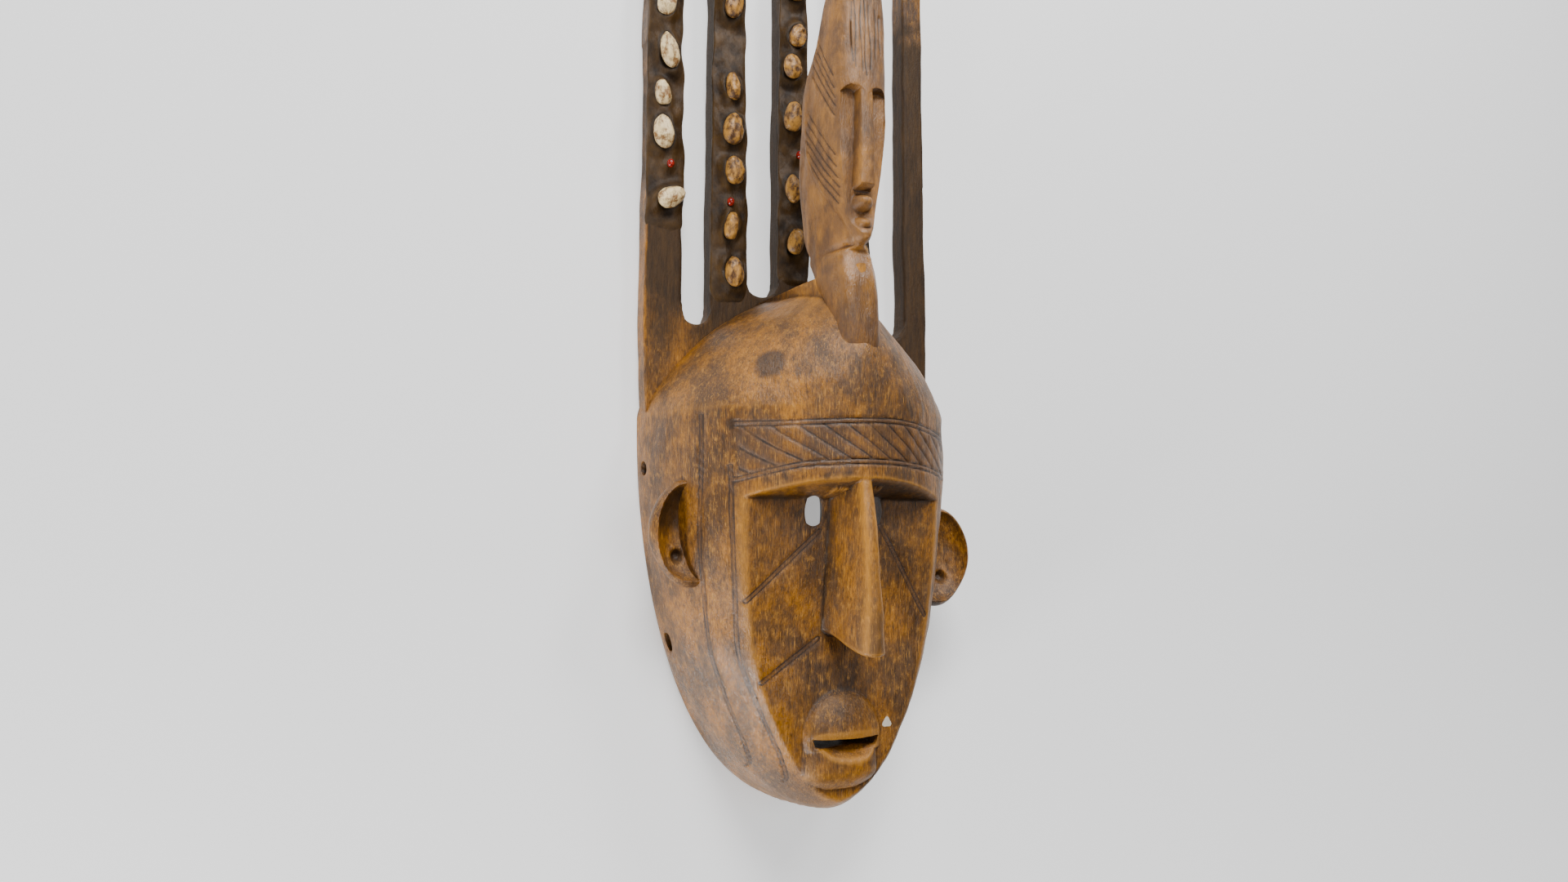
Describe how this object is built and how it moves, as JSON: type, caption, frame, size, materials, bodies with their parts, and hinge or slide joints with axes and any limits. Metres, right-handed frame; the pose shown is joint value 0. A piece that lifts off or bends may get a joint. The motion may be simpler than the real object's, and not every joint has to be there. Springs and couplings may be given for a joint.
{
  "type": "ntomo mask",
  "caption": "Carved wooden face mask with a comb of upright horns, a small head on its neck, resin crusts, cowrie shells and red seeds, lying on its open back.",
  "frame": {"origin": "middle of the footprint on the surface that the mask's open back lies on", "axes": "+Y towards the tips of the horns, +Z out of the face, +X to the right as one looks at the face"},
  "size_m": [0.1998, 0.5318, 0.118],
  "materials": {
    "wood": "hand-carved hardwood, oiled and smoke-darkened, worn shiny on high places",
    "resin": "hard dark plant resin with dust, half matt",
    "shell": "worn cowrie shell stained by resin, half glossy",
    "seed": "hard glossy red seed"
  },
  "bodies": {
    "root": {"carving": "wood", "resin_1": "resin", "resin_2": "resin", "resin_3": "resin", "resin_4": "resin", "cowrie_01": "shell", "cowrie_02": "shell", "cowrie_03": "shell", "cowrie_04": "shell", "cowrie_05": "shell", "cowrie_06": "shell", "cowrie_07": "shell", "cowrie_08": "shell", "cowrie_09": "shell", "cowrie_10": "shell", "cowrie_11": "shell", "cowrie_12": "shell", "cowrie_13": "shell", "cowrie_14": "shell", "cowrie_15": "shell", "cowrie_16": "shell", "cowrie_17": "shell", "cowrie_18": "shell", "cowrie_19": "shell", "cowrie_20": "shell", "cowrie_21": "shell", "cowrie_22": "shell", "cowrie_23": "shell", "cowrie_24": "shell", "cowrie_25": "shell", "seed_1": "seed", "seed_2": "seed", "seed_3": "seed", "seed_4": "seed"}
  },
  "joints": []
}
